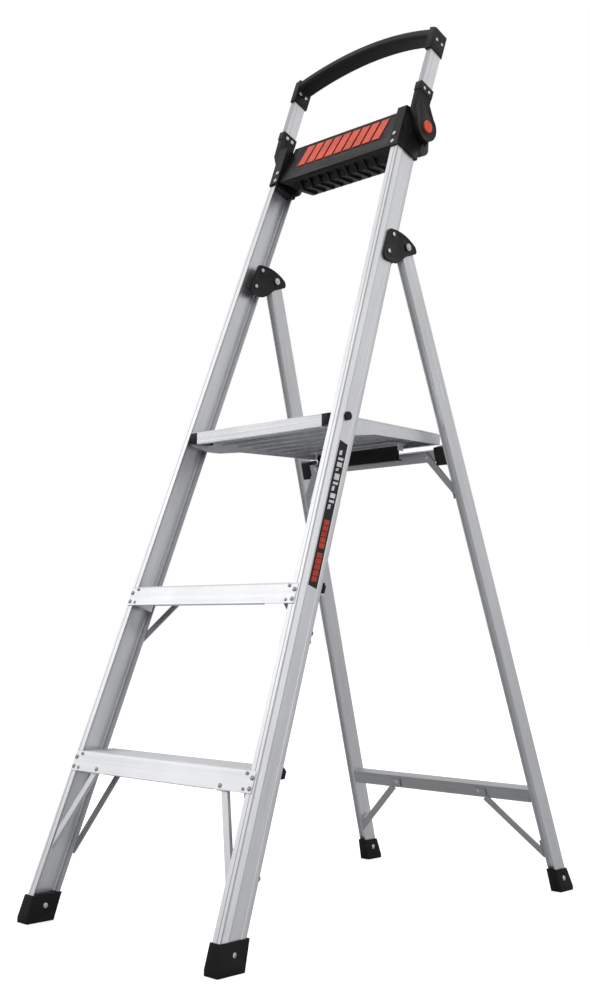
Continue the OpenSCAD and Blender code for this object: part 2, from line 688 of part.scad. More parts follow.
module upper_strut_part(side) color(grey) on_side(side) difference() {
    union() {
        intersection() {
            strut(upper_strut, -8);
            strut_trim();
        }
        strut_tab(upper_strut);
    }
    upper_strut_bar_place() cylinder(h = 12, r = rivet_radius, center = true);
    strut_leg_places() cylinder(h = 12, r = rivet_radius, center = true);
}
module lower_strut_part(side) color(grey) on_side(side) difference() {
    union() {
        intersection() {
            strut(lower_strut, 0);
            strut_trim();
        }
        // foot of the strut along the bar
        leg_frame() block([lower_strut[0] - 22, -leg_depth / 2 - strut_thick + 0.2, -lower_bar_down - 11],
            [lower_strut[0] + 4, -leg_depth / 2 - 0.2, -lower_bar_down + 6]);
        strut_tab(lower_strut);
    }
    lower_strut_bar_place() cylinder(h = 12, r = rivet_radius, center = true);
    strut_leg_places() cylinder(h = 12, r = rivet_radius, center = true);
}
module strut_rivets() color(rivet_grey) both_sides() {
    upper_strut_bar_place() translate([0, 0, strut_thick]) rivet(strut_thick + 2);
    lower_strut_bar_place() translate([0, 0, strut_thick]) rivet(strut_thick + 2);
    strut_leg_places() translate([0, 0, 2.5]) rivet(2.5 + leg_wall);
}

// ---------- rear feet ----------
rear_boot_top = 45;
rear_foot_front = rear_foot_back - 45;
rear_foot_width = leg_width + 2 * boot_wall;
module rear_foot_place() leg_web_frame() translate([boot_wall, 2, -leg_length + 26]) rotate([0, 90, 0]) children();
module rear_foot(side) color(black) on_side(side) difference() {
    hull() {
        intersection() {
            leg_web_frame() block([-leg_width - boot_wall, -leg_depth / 2 - boot_wall, -leg_length],
                [boot_wall, leg_depth / 2 + boot_wall, -leg_length + 120]);
            world() block([0, 600, rear_boot_top - 1], [400, 1200, rear_boot_top]);
        }
        world() block([leg_inner(leg_length) - boot_wall - 0.5, rear_foot_front, 0],
            [leg_outer(leg_length) + boot_wall + 1, rear_foot_back, 7]);
    }
    intersection() {
        leg_web_frame() translate([0, 0, -leg_length - 20]) linear_extrude(200) leg_profile();
        above_sole();
    }
    rear_foot_place() foot_rivet_cut(rear_foot_width);
}
module rear_foot_rivets() color(rivet_grey) both_sides() rear_foot_place() foot_rivet(rear_foot_width);

// ---------- handrail ----------
function arm_outline() = [
    [0, arm_top], [arm_depth, arm_top], [arm_depth + 1, 1684],
    [66, 1657], [30, 1615], [19, 1632], [2, 1655]];
arm_rivet_spots = [[12, 1707], [27, 1707]];
cap_rivet_spots = [[11, 1829], [28, 1829]];
module spot_places(x, spots) rail_frame() for (spot = spots)
    translate([x, spot[0], spot[1]]) rotate([0, 90, 0]) children();

module arm(side) color(black) on_side(side) difference() {
    union() {
        rail_frame() side_plane(arm_inner) linear_extrude(arm_outer - arm_inner) polygon(arm_outline());
        handrail_axis() bar_x(arm_inner, arm_outer, boss_radius);
        rail_frame() block([arm_inner, -1, arm_top - 20], [arm_outer + 0.8, arm_depth + 1, arm_top]);
    }
    handrail_axis() bar_x(150, 250, stub_radius + fit);
    handrail_axis() bar_x(button_seat, 250, button_radius + 2 * fit);
    rail_frame() block([tube_inner, tube_front, 1676], [tube_outer, tube_back, far]);
    spot_places(arm_inner, arm_rivet_spots) cylinder(h = 60, r = rivet_radius, center = true);
}
module tube(side) color(silver) on_side(side) difference() {
    rail_frame() block([tube_inner, tube_front, 1676], [tube_outer, tube_back, tube_top]);
    rail_frame() block([tube_inner + 1.5, tube_front + 1.5, 1600], [tube_outer - 1.5, tube_back - 1.5, far]);
    spot_places(tube_inner, arm_rivet_spots) cylinder(h = 60, r = rivet_radius, center = true);
    spot_places(tube_inner, cap_rivet_spots) cylinder(h = 60, r = rivet_radius, center = true);
}
// Cross-section of the grip bar, with bevelled edges
function grip_section() = [
    [grip_radius - 5, 0], [grip_radius, 5], [grip_radius, arm_depth - 5], [grip_radius - 5, arm_depth],
    [grip_radius - grip_thick + 5, arm_depth], [grip_radius - grip_thick, arm_depth - 5],
    [grip_radius - grip_thick, 5], [grip_radius - grip_thick + 5, 0]];
module grip_bar() intersection() {
    rail_frame() translate([0, 0, grip_top - grip_radius]) rotate([-90, 0, 0]) rotate_extrude($fn = 180)
        polygon(grip_section());
    rail_frame() block([-grip_half, -1, 1700], [grip_half, 60, 1950]);
}
module grip_cap() difference() {
    rail_frame() linear_extrude(far, center = false) polygon([
        [grip_half - eps, -1], [cap_outer - 3, -1], [cap_outer, 2], [cap_outer, arm_depth - 1],
        [cap_outer - 3, arm_depth + 2], [grip_half - eps, arm_depth + 2]]);
    rail_frame() block([0, -50, -10], [400, 100, cap_bottom]);
    rail_frame() difference() {
        block([0, -60, 1800], [400, 110, far]);
        translate([0, 0, grip_top - grip_radius]) bar_y(-70, 120, grip_radius + 1);
    }
}
// The grip bar and its two end sockets are one moulding
module grip() color(black) difference() {
    union() {
        grip_bar();
        both_sides() grip_cap();
    }
    both_sides() rail_frame() block([tube_inner, tube_front, cap_bottom - 10], [tube_outer, tube_back, tube_top]);
    both_sides() spot_places(tube_inner, cap_rivet_spots) cylinder(h = 60, r = rivet_radius, center = true);
}

// Rivets through the arms and the end sockets into the tubes, from the outside
module handrail_rivets() color(rivet_grey) both_sides() {
    spot_places(arm_outer + 0.8, arm_rivet_spots) rivet(arm_outer + 0.8 - tube_outer + 1.5, 3.4);
    spot_places(cap_outer, cap_rivet_spots) rivet(cap_outer - tube_outer + 1.5, 3.4);
}

// ---------- release buttons ----------
module release_button(side) color(red) on_side(side) handrail_axis() {
    bar_x(button_rest, button_face - 1.5, button_radius);
    translate([button_face - 1.5, 0, 0]) rotate([0, 90, 0]) cylinder(h = 1.5, r1 = button_radius, r2 = button_radius - 1.5);
    bar_x(182, button_rest + eps, stem_radius);
}
// Two-turn spring between the stub and the button
spring_radius = 8.6;
spring_wire = 0.7;
function spring_ring(a) = [for (k = [0:5])
    let (r = spring_radius + spring_wire * cos(60 * k), x = stub_end + spring_wire + 0.1 + 1.9 * a / 720 + spring_wire * sin(60 * k))
    [x, r * cos(a), r * sin(a)]];
spring_steps = 32;
module spring() {
    points = [for (n = [0:spring_steps]) each spring_ring(720 * n / spring_steps)];
    sides = [for (n = [0:spring_steps - 1]) for (k = [0:5])
        [n * 6 + k, n * 6 + (k + 1) % 6, (n + 1) * 6 + (k + 1) % 6, (n + 1) * 6 + k]];
    last = spring_steps * 6;
    polyhedron(points, concat(sides, [[5, 4, 3, 2, 1, 0], [for (k = [0:5]) last + k]]));
}
module button_springs() color(rivet_grey) both_sides() handrail_axis() spring();

rail(-1);  // rail_left
rail(1);  // rail_right
step(lower_z);  // step_lower
step(middle_z);  // step_middle
step_rivets();
front_brace(-1);  // front_brace_left
front_brace(1);  // front_brace_right
rear_brace(-1, rear_line, lower_z);  // rear_brace_left
rear_brace(1, rear_line, lower_z);  // rear_brace_right
rear_brace(-1, middle_line, middle_z);  // middle_brace_left
rear_brace(1, middle_line, middle_z);  // middle_brace_right
front_foot(-1);  // front_foot_left
front_foot(1);  // front_foot_right
front_foot_rivets();
bracket_outer(-1);  // bracket_outer_left
bracket_outer(1);  // bracket_outer_right
bracket_inner(-1);  // bracket_inner_left
bracket_inner(1);  // bracket_inner_right
bracket_rivets();
leg_pivot_pins();
leg_bumpers();
side_label();
tool_tray();
tray_inlay();
housing(-1);  // housing_left
housing(1);  // housing_right
tray_rivets();
platform_bolts();
platform_spacers();
button_springs();
leg(-1);  // leg_left
leg(1);  // leg_right
leg_bushes();
crossbar_upper();
crossbar_lower();
bar_block(-1);  // bar_block_left
bar_block(1);  // bar_block_right
upper_strut_part(-1);  // upper_strut_left
upper_strut_part(1);  // upper_strut_right
lower_strut_part(-1);  // lower_strut_left
lower_strut_part(1);  // lower_strut_right
strut_rivets();
rear_foot(-1);  // rear_foot_left
rear_foot(1);  // rear_foot_right
rear_foot_rivets();
platform_deck();
platform_side_plate(-1);  // platform_side_left
platform_side_plate(1);  // platform_side_right
platform_block(-1);  // platform_block_left
platform_block(1);  // platform_block_right
latch_bracket();
platform_latch();
arm(-1);  // arm_left
arm(1);  // arm_right
tube(-1);  // tube_left
tube(1);  // tube_right
grip();
handrail_rivets();
release_button(-1);  // button_left
release_button(1);  // button_right
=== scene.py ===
"""Looks of the folding step stool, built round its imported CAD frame. Metres, +Z up."""
import json
import math

import bmesh
import bpy
from mathutils import Matrix, Vector
from mathutils.bvhtree import BVHTree


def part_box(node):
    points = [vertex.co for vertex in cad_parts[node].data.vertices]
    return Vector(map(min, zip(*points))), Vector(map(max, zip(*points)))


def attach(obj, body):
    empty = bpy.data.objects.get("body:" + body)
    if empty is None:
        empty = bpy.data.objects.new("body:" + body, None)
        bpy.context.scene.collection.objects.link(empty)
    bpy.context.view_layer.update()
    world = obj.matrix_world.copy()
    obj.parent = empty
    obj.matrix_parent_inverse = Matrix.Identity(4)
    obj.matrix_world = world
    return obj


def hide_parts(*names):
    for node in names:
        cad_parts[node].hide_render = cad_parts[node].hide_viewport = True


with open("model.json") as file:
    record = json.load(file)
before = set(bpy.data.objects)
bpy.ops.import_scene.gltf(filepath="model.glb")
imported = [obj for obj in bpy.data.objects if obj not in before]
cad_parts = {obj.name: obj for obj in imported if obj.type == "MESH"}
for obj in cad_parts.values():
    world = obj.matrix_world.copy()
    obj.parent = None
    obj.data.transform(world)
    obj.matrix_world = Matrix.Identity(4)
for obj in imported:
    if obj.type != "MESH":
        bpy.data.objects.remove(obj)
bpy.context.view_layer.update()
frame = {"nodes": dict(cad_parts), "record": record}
nodes = frame["nodes"]
body_of = {node: body for body, members in frame["record"]["behaviour"]["bodies"].items()
           for node in members}

LEAN = math.radians(20)          # front rails, from vertical
SPLAY = math.radians(2.95)       # front rails, towards the middle
LEG_LEAN = math.radians(18)      # rear legs, from vertical
HALF_RAIL = 0.261                # outer face of a rail, at the ground
MID_Y = 0.493                    # the rails' front edge on the ground to the origin
RAIL_REACH = 0.056               # how far back from its front edge a rail is shaded
FLANGE_REACH = 0.02              # how far in from its outer face a rail is shaded

CAMERA_PLACE = (1.74275, -1.83552, 0.52523)
CAMERA_TURN = (44.40, 5.754, 0.354)      # azimuth, pitch and roll, in degrees

# painted shade and painted dark reflection lines on a rail, as (share of the reach, grey)
WEB_SHADE_AND_REFLECTION = ((0.012, 1), (0.02, 0.5), (0.05, 0.55), (0.09, 1), (0.26, 1), (0.275, 0.7),
             (0.30, 1), (0.76, 1), (0.775, 0.75), (0.80, 1), (0.97, 0.7))
FLANGE_SHADE_AND_REFLECTION = ((0, 0.8), (0.06, 1), (0.50, 1), (0.54, 0.5), (0.60, 0.5), (0.64, 1), (1, 1))

WELD = 0.00001                   # corners of a CAD mesh this close are one
FLAT_TURN = math.radians(0.6)    # faces that turn less than this are merged
BEVEL_SEGMENTS = 3
BEVEL_FROM = math.radians(40)    # edges sharper than this are rounded
SHARP_FROM = math.radians(35)    # edges sharper than this are shaded as edges
FACING, SAME_WAY = 0.96, 0.9999  # least cosines: roughly towards, and parallel
SAME_LEVEL = 0.0002

RIM_BORDER, BOOT_BORDER = 0.0030, 0.0050  # raised borders round the sunk faces
SUNK_DEPTH = 0.0010
RIM_TILT = 0.05                  # about the splay, for the arms' and brackets' faces

DOME_SIDES = 20
DOME_SHARES = (0.35, 0.7, 0.9, 1.0)      # radii of the rings of a domed head
DOME_CURVE = 0.97                # a head's edge is this share of the way to upright
DOME_SKIRT = 0.0008              # a head goes on this far below its edge
END_BAND = 0.00005               # corners this near to a rivet's end belong to it
BOOT_HEADS = (("front_foot_rivets", 0.0056), ("rear_foot_rivets", 0.0046))   # radii
BOOT_HEAD_HEIGHT, BOOT_HEAD_PROUD = 0.0014, 0.0004

ARM_RIVETS = ((0.012, 1.707), (0.027, 1.707))    # back from and up along the rail plane
GRIP_RIVETS = ((0.011, 1.829), (0.028, 1.829))
INNER_HEAD_RADIUS, INNER_HEAD_HEIGHT, INNER_HEAD_PROUD = 0.0044, 0.0011, 0.0012
BESIDE_HOLE = 0.0042             # from a rivet's axis to the face round its hole

RIB_NUMBERS = range(-4, 5)
RIB_PITCH, RIB_HALF = 0.0255, 0.002
# a rib's corners, back from the tray's front and up from its lowest level
RIB_OUTLINE = ((0.010, 0.013), (0.024, -0.0035), (0.060, -0.0035), (0.068, 0.004))

LABEL_FRONT, LABEL_REAR = 0.019, 0.0405  # edges of the label, from the rail's front edge
INK_LEVELS = (-0.00041, -0.00012)        # faces of the ink, from the outer face of the rail
INK_LEAN = 0.003
MARK_LENGTHS = (9, 5, 9, 9, 5, 12, 5, 9, 5, 9)   # pale marks, in millimetres
MARK_START, MARK_GAP = 0.792, 0.0042     # of the pale marks, along the rail
MARK_MARGINS = (0.005, 0.004, 0.010)     # front, rear, and rear of every third mark
BAR_STARTS, BARS_EACH = (0.656, 0.718), 5        # two groups of red bars
BAR_PITCH, BAR_LENGTH, BAR_MARGIN = 0.011, 0.0096, 0.004


# ---------- places ----------
def rail_point(x, back, up):
    """A point of the leaning plane of the front rails, in the world."""
    y = up * math.sin(LEAN) + back * math.cos(LEAN) - MID_Y
    return Vector((x, y, up * math.cos(LEAN) - back * math.sin(LEAN)))


def web_point(out, back, up):
    """A point by the outer face of the right rail."""
    x = HALF_RAIL + out * math.cos(SPLAY) - up * math.sin(SPLAY)
    return rail_point(x, back, up * math.cos(SPLAY) + out * math.sin(SPLAY))


# ---------- camera ----------
def add_camera():
    """A camera low in front, to the right of the stool, looking slightly up."""
    azimuth, pitch, roll = map(math.radians, CAMERA_TURN)
    forward = Vector((-math.sin(azimuth) * math.cos(pitch),
                      math.cos(azimuth) * math.cos(pitch), math.sin(pitch)))
    side = Vector((math.cos(azimuth), math.sin(azimuth), 0))
    up = side.cross(forward)
    right = side * math.cos(roll) + up * math.sin(roll)
    top = up * math.cos(roll) - side * math.sin(roll)
    data = bpy.data.cameras.new("camera")
    data.sensor_width = 36
    data.lens = 46.24
    camera = bpy.data.objects.new("camera", data)
    turn = Matrix((right, top, -forward)).transposed().to_4x4()
    camera.matrix_world = Matrix.Translation(CAMERA_PLACE) @ turn
    bpy.context.collection.objects.link(camera)
    bpy.context.scene.camera = camera


# ---------- lights and floor ----------
def area_light(name, place, target, size, power):
    """A rectangular light that looks at a target; size is (width, height), power in watts."""
    data = bpy.data.lights.new(name, "AREA")
    data.shape = "RECTANGLE"
    data.size, data.size_y = size
    data.energy = power
    light = bpy.data.objects.new(name, data)
    light.location = place
    light.rotation_euler = (Vector(target) - Vector(place)).to_track_quat("-Z", "Y").to_euler()
    bpy.context.collection.objects.link(light)


def add_world():
    """A plain white backdrop for the camera, and a softer graded room that lights the stool."""
    world = bpy.data.worlds.new("studio")
    bpy.context.scene.world = world
    world.use_nodes = True
    tree = world.node_tree
    add = tree.nodes.new
    link = tree.links.new
    direction = add("ShaderNodeTexCoord").outputs["Generated"]
    split = add("ShaderNodeSeparateXYZ")
    link(direction, split.inputs[0])
    height = add("ShaderNodeValToRGB")
    link(split.outputs["Z"], height.inputs["Fac"])
    stops = height.color_ramp.elements
    stops[0].position, stops[0].color = 0.0, (0.60, 0.603, 0.615, 1)
    stops[1].position, stops[1].color = 0.8, (1, 1, 1, 1)
    middle = stops.new(0.3)
    middle.color = (0.76, 0.763, 0.775, 1)
    room = tree.nodes["Background"]
    link(height.outputs["Color"], room.inputs["Color"])
    room.inputs["Strength"].default_value = 0.95
    backdrop = add("ShaderNodeBackground")
    backdrop.inputs["Color"].default_value = (1, 1, 1, 1)
    backdrop.inputs["Strength"].default_value = 1.0
    path = add("ShaderNodeLightPath")
    mix = add("ShaderNodeMixShader")
    link(path.outputs["Is Camera Ray"], mix.inputs["Fac"])
    link(room.outputs[0], mix.inputs[1])
    link(backdrop.outputs[0], mix.inputs[2])
    link(mix.outputs[0], tree.nodes["World Output"].inputs["Surface"])
    bpy.context.scene.view_settings.view_transform = "Standard"


def add_lights():
    """Soft boxes to the left, in front, to the right and overhead."""
    area_light("key", (-3.4, -2.6, 3.0), (0, 0, 0.9), (2.2, 2.8), 17)
    area_light("front", (0.2, -4.4, 2.6), (0, 0, 0.8), (1.8, 2.4), 2.5)
    area_light("side", (4.0, 0.6, 1.6), (0, 0, 0.6), (1.6, 2.8), 20)
    area_light("top", (0.2, 0.4, 4.4), (0, 0, 0.6), (2.6, 2.6), 26)


def add_floor():
    """A pale floor just below the feet, staged so that it rides on no body."""
    bpy.ops.mesh.primitive_plane_add(size=60, location=(0, 0, -0.0006))
    floor = bpy.context.object
    floor.name = "floor"
    material = bpy.data.materials.new("floor")
    material.use_nodes = True
    tree = material.node_tree
    seen = tree.nodes["Principled BSDF"]
    seen.inputs["Base Color"].default_value = (0.72, 0.72, 0.72, 1)
    seen.inputs["Roughness"].default_value = 0.9
    seen.inputs["Specular IOR Level"].default_value = 0.1
    seen.inputs["Emission Color"].default_value = (1, 1, 1, 1)
    seen.inputs["Emission Strength"].default_value = 0.6
    # the metal reflects a darker floor than the pale one that shows
    mirrored = tree.nodes.new("ShaderNodeBsdfDiffuse")
    mirrored.inputs["Color"].default_value = (0.45, 0.453, 0.462, 1)
    path = tree.nodes.new("ShaderNodeLightPath")
    mix = tree.nodes.new("ShaderNodeMixShader")
    tree.links.new(path.outputs["Is Camera Ray"], mix.inputs["Fac"])
    tree.links.new(mirrored.outputs[0], mix.inputs[1])
    tree.links.new(seen.outputs[0], mix.inputs[2])
    tree.links.new(mix.outputs[0], tree.nodes["Material Output"].inputs["Surface"])
    floor.data.materials.append(material)


# ---------- materials ----------
class Surface:
    """A procedural material under construction, in the object's own coordinates."""

    def __init__(self, name, colour, rough, metallic=0.0):
        self.material = bpy.data.materials.new(name)
        self.material.use_nodes = True
        self.tree = self.material.node_tree
        self.shader = self.tree.nodes["Principled BSDF"]
        self.shader.inputs["Metallic"].default_value = metallic
        self.shader.inputs["Roughness"].default_value = rough
        self.shader.inputs["Base Color"].default_value = (*colour, 1)
        self.colour = colour
        self.place = self.tree.nodes.new("ShaderNodeTexCoord").outputs["Object"]
        self.heights = []

    def feed(self, socket, value):
        """Links an output to the socket, or sets a plain value."""
        if hasattr(value, "links"):
            self.tree.links.new(value, socket)
        else:
            socket.default_value = value

    def add(self, kind, **inputs):
        """A new node; an underscore in the name of an input stands for a space."""
        node = self.tree.nodes.new(kind)
        for name, value in inputs.items():
            self.feed(node.inputs[name.replace("_", " ")], value)
        return node

    def mapped(self, scale, turn=(0, 0, 0)):
        """Coordinates turned so that the piece's length is Z, then scaled."""
        shrink = [1 / factor for factor in scale]
        node = self.add("ShaderNodeMapping", Vector=self.place, Scale=shrink, Rotation=turn)
        node.vector_type = "TEXTURE"
        return node.outputs["Vector"]

    def noise(self, vector, detail=3.0, roughness=0.5):
        node = self.add("ShaderNodeTexNoise", Vector=vector, Scale=1.0, Detail=detail,
                        Roughness=roughness)
        return node.outputs["Fac"]

    def ranged(self, value, low, high, start=0.3, end=0.7):
        """The value stretched from start..end to low..high, and held between them."""
        node = self.add("ShaderNodeMapRange", Value=value, From_Min=start, From_Max=end,
                        To_Min=low, To_Max=high)
        return node.outputs["Result"]

    def math(self, operation, first, second=0.0):
        node = self.tree.nodes.new("ShaderNodeMath")
        node.operation = operation
        self.feed(node.inputs[0], first)
        self.feed(node.inputs[1], second)
        return node.outputs[0]

    def blend(self, first, second, share):
        """share of the second value mixed into the first."""
        return self.math("ADD", self.math("MULTIPLY", first, 1 - share),
                         self.math("MULTIPLY", second, share))

    def tint(self, value, dark, light):
        """Base colour from dark to light times the surface's colour, along a 0 to 1 value."""
        ramp = self.add("ShaderNodeValToRGB", Fac=value)
        for stop, factor in zip(ramp.color_ramp.elements, (dark, light)):
            stop.color = (*[min(c * factor, 1) for c in self.colour], 1)
        self.tree.links.new(ramp.outputs["Color"], self.shader.inputs["Base Color"])

    def along(self, direction, offset):
        """How far each point lies along a direction, plus an offset."""
        node = self.tree.nodes.new("ShaderNodeVectorMath")
        node.operation = "DOT_PRODUCT"
        self.feed(node.inputs[0], self.place)
        node.inputs[1].default_value = direction
        return self.math("ADD", node.outputs["Value"], offset)

    def shade(self, value, start, end, stops):
        """Multiplies the base colour by greys along a value; stops are (share, grey)."""
        ramp = self.add("ShaderNodeValToRGB", Fac=self.ranged(value, 0, 1, start, end))
        elements = ramp.color_ramp.elements
        elements[0].position, elements[-1].position = stops[0][0], stops[-1][0]
        for share, grey in stops[1:-1]:
            elements.new(share)
        for element, (share, grey) in zip(elements, stops):
            element.color = (grey, grey, grey, 1)
        mix = self.tree.nodes.new("ShaderNodeMix")
        mix.data_type, mix.blend_type = "RGBA", "MULTIPLY"
        mix.inputs["Factor"].default_value = 1
        base = self.shader.inputs["Base Color"].links[0].from_socket
        self.tree.links.new(base, mix.inputs["A"])
        self.tree.links.new(ramp.outputs["Color"], mix.inputs["B"])
        self.tree.links.new(mix.outputs["Result"], self.shader.inputs["Base Color"])

    def roughness(self, value, low, high):
        self.tree.links.new(self.ranged(value, low, high), self.shader.inputs["Roughness"])

    def bump(self, height, depth, strength):
        self.heights.append((height, depth, strength))

    def finish(self, edge=0.0006):
        """Chains the bumps onto softened edges."""
        bevel = self.add("ShaderNodeBevel", Radius=edge)
        bevel.samples = 4
        normal = bevel.outputs["Normal"]
        for height, depth, strength in self.heights:
            bump = self.add("ShaderNodeBump", Height=height, Distance=depth, Strength=strength,
                            Normal=normal)
            normal = bump.outputs["Normal"]
        self.tree.links.new(normal, self.shader.inputs["Normal"])
        return self.material


def paint_rail_shade(surface):
    """Painted shade and painted dark reflection lines along the rails, in colour only, with no
    groove in the shape.
    """
    back = surface.along((0, math.cos(LEAN), -math.sin(LEAN)), MID_Y * math.cos(LEAN))
    surface.shade(back, 0, RAIL_REACH, WEB_SHADE_AND_REFLECTION)
    split = surface.add("ShaderNodeSeparateXYZ", Vector=surface.place)
    wide = surface.math("MULTIPLY", surface.math("ABSOLUTE", split.outputs["X"]), math.cos(SPLAY))
    lift = surface.along((0, math.sin(LEAN) * math.sin(SPLAY), math.cos(LEAN) * math.sin(SPLAY)),
                         MID_Y * math.sin(LEAN) * math.sin(SPLAY) - HALF_RAIL * math.cos(SPLAY))
    out = surface.math("ADD", wide, lift)
    surface.shade(out, -FLANGE_REACH, 0.0, FLANGE_SHADE_AND_REFLECTION)


def extruded_metal(name, colour, rough, turn, wave_depth=0.0, section=None):
    """Satin aluminium with die lines along the piece, faint stains and fine scuffs.

    wave_depth adds slow waves along the piece; section paints shade and dark reflection lines
    across its cross-section.
    """
    surface = Surface(name, colour, rough, metallic=0.92)
    lines = surface.noise(surface.mapped((900, 900, 5), turn), detail=4, roughness=0.7)
    bands = surface.noise(surface.mapped((130, 130, 1.2), turn), detail=2)
    stains = surface.noise(surface.mapped((9, 9, 4)), detail=5, roughness=0.6)
    scuffs = surface.noise(surface.mapped((260, 260, 60), turn), detail=6, roughness=0.75)
    surface.tint(surface.ranged(surface.blend(bands, stains, 0.55), 0, 1), 0.88, 1.05)
    if section:
        section(surface)
    surface.roughness(surface.blend(lines, scuffs, 0.4), rough - 0.08, rough + 0.1)
    surface.bump(lines, 0.00006, 0.5)
    if wave_depth:
        waves = surface.noise(surface.mapped((70, 70, 2.0), turn), detail=2)
        surface.bump(waves, wave_depth, 0.7)
    surface.bump(scuffs, 0.00005, 0.3)
    return surface.finish()


def moulded_plastic(name, colour, rough, grain=1.0, edge=0.0008, gloss=0.25):
    """Spark-textured moulding with slightly polished high spots and a little dust."""
    surface = Surface(name, colour, rough)
    fine = surface.noise(surface.mapped((1400, 1400, 1400)), detail=3, roughness=0.6)
    coarse = surface.noise(surface.mapped((30, 30, 30)), detail=4)
    surface.tint(surface.ranged(coarse, 0, 1), 0.8, 1.3)
    surface.roughness(coarse, rough - 0.06, rough + 0.08)
    surface.bump(fine, 0.00012 * grain, 0.5)
    surface.shader.inputs["Specular IOR Level"].default_value = gloss
    return surface.finish(edge)


def rubber(name):
    """Matt rubber, with the grey bloom and dust that settle on it."""
    surface = Surface(name, (0.005, 0.005, 0.0053), 0.6)
    grain = surface.noise(surface.mapped((900, 900, 900)), detail=4, roughness=0.65)
    dust = surface.noise(surface.mapped((55, 55, 30)), detail=6, roughness=0.7)
    surface.tint(surface.ranged(dust, 0, 1), 0.75, 1.9)
    surface.roughness(dust, 0.5, 0.75)
    surface.bump(grain, 0.0002, 0.5)
    surface.shader.inputs["Specular IOR Level"].default_value = 0.2
    return surface.finish(0.001)


def plated_steel(name, colour=(0.62, 0.62, 0.63), rough=0.28):
    """Bare or plated metal of the small fittings, slightly mottled."""
    surface = Surface(name, colour, rough, metallic=1.0)
    swirl = surface.noise(surface.mapped((420, 420, 420)), detail=5, roughness=0.7)
    surface.tint(swirl, 0.8, 1.08)
    surface.roughness(swirl, rough - 0.08, rough + 0.14)
    surface.bump(swirl, 0.00005, 0.35)
    return surface.finish(0.0004)


def make_materials():
    """The finishes by name; a turn lays the die lines along the pieces of a finish."""
    rail_turn = (-LEAN, 0, 0)
    leg_turn = (LEG_LEAN, 0, 0)
    across = (0, math.radians(90), 0)
    return {
        # the rails' finish carries painted shade and painted dark reflection lines
        "rail": extruded_metal("rail_aluminium", (0.78, 0.785, 0.80), 0.36, rail_turn,
                               section=paint_rail_shade),
        "tread": extruded_metal("tread_aluminium", (0.80, 0.805, 0.82), 0.40, across),
        "deck": extruded_metal("deck_aluminium", (0.82, 0.826, 0.84), 0.24, across,
                               wave_depth=0.0005),
        "leg": extruded_metal("leg_aluminium", (0.71, 0.715, 0.725), 0.33, leg_turn),
        # the crossbars, struts and rear braces: aluminium coloured much darker than the legs, as
        # painted shade over the rear frame
        "bar": extruded_metal("shade_darkened_bar_aluminium", (0.43, 0.435, 0.445), 0.38, across),
        "brace": extruded_metal("brace_aluminium", (0.70, 0.705, 0.715), 0.38, rail_turn),
        "rivet": plated_steel("rivet_aluminium", (0.66, 0.66, 0.67), 0.32),
        "dull": plated_steel("dull_rivet", (0.36, 0.36, 0.37), 0.36),
        "steel": plated_steel("plated_steel"),
        "rubber": rubber("foot_rubber"),
        "plastic": moulded_plastic("black_moulding", (0.0065, 0.0065, 0.007), 0.36),
        "grip": moulded_plastic("grip_moulding", (0.006, 0.006, 0.0065), 0.42, grain=1.6,
                                edge=0.0012),
        "button": moulded_plastic("button_moulding", (0.80, 0.075, 0.022), 0.32, grain=0.3,
                                  gloss=0.4),
        "accent": moulded_plastic("accent_moulding", (0.76, 0.085, 0.04), 0.36, grain=0.3,
                                  gloss=0.35),
        "label": moulded_plastic("label_film", (0.012, 0.012, 0.013), 0.24, grain=0.15,
                                 edge=0.0002),
        "ink": moulded_plastic("label_ink", (0.60, 0.60, 0.60), 0.34, grain=0.15, edge=0.0001),
        "red_ink": moulded_plastic("label_red_ink", (0.40, 0.04, 0.018), 0.34, grain=0.15,
                                   edge=0.0001),
    }


# the finish of each CAD node, by how its name starts; the rest are plastic
FINISHES = {
    "rail": ("rail_", "tube_"),
    "brace": ("front_brace",),
    "tread": ("step_lower", "step_middle", "platform_side", "latch_bracket"),
    "deck": ("platform_deck",),
    "leg": ("leg_left", "leg_right"),
    "bar": ("crossbar", "upper_strut", "lower_strut", "rear_brace", "middle_brace"),
    "steel": ("leg_pivot_pins", "button_springs"),
    "rubber": ("front_foot_left", "front_foot_right", "rear_foot_left", "rear_foot_right",
               "leg_bumpers"),
    "button": ("button_left", "button_right"),
    "accent": ("tray_inlay",),
    "label": ("side_label",),
    "grip": ("grip",),
}


def finish_of(node):
    """The finish of a CAD node; the treads' rivets are duller than the others."""
    if node.endswith("_rivets"):
        return "dull" if node.startswith("step") else "rivet"
    for finish, starts in FINISHES.items():
        if node.startswith(starts):
            return finish
    return "plastic"


def dress_nodes():
    """Gives every CAD node its material."""
    for name, node in nodes.items():
        node.data.materials.clear()
        node.data.materials.append(materials[finish_of(name)])


def new_piece(name, mesh, body, finish):
    """An object that rides on a body, with its material and smooth shading where it curves."""
    piece = bpy.data.objects.new(name, mesh)
    bpy.context.collection.objects.link(piece)
    mesh.materials.clear()
    mesh.materials.append(materials[finish])
    for face in mesh.polygons:
        face.use_smooth = True
    mesh.set_sharp_from_angle(angle=SHARP_FROM)
    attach(piece, body)
    return piece


def from_bmesh(name, shape, body, finish):
    """Stands a finished bmesh in the scene as a piece, and frees it."""
    bmesh.ops.recalc_face_normals(shape, faces=shape.faces)
    mesh = bpy.data.meshes.new(name)
    shape.to_mesh(mesh)
    shape.free()
    new_piece(name, mesh, body, finish)


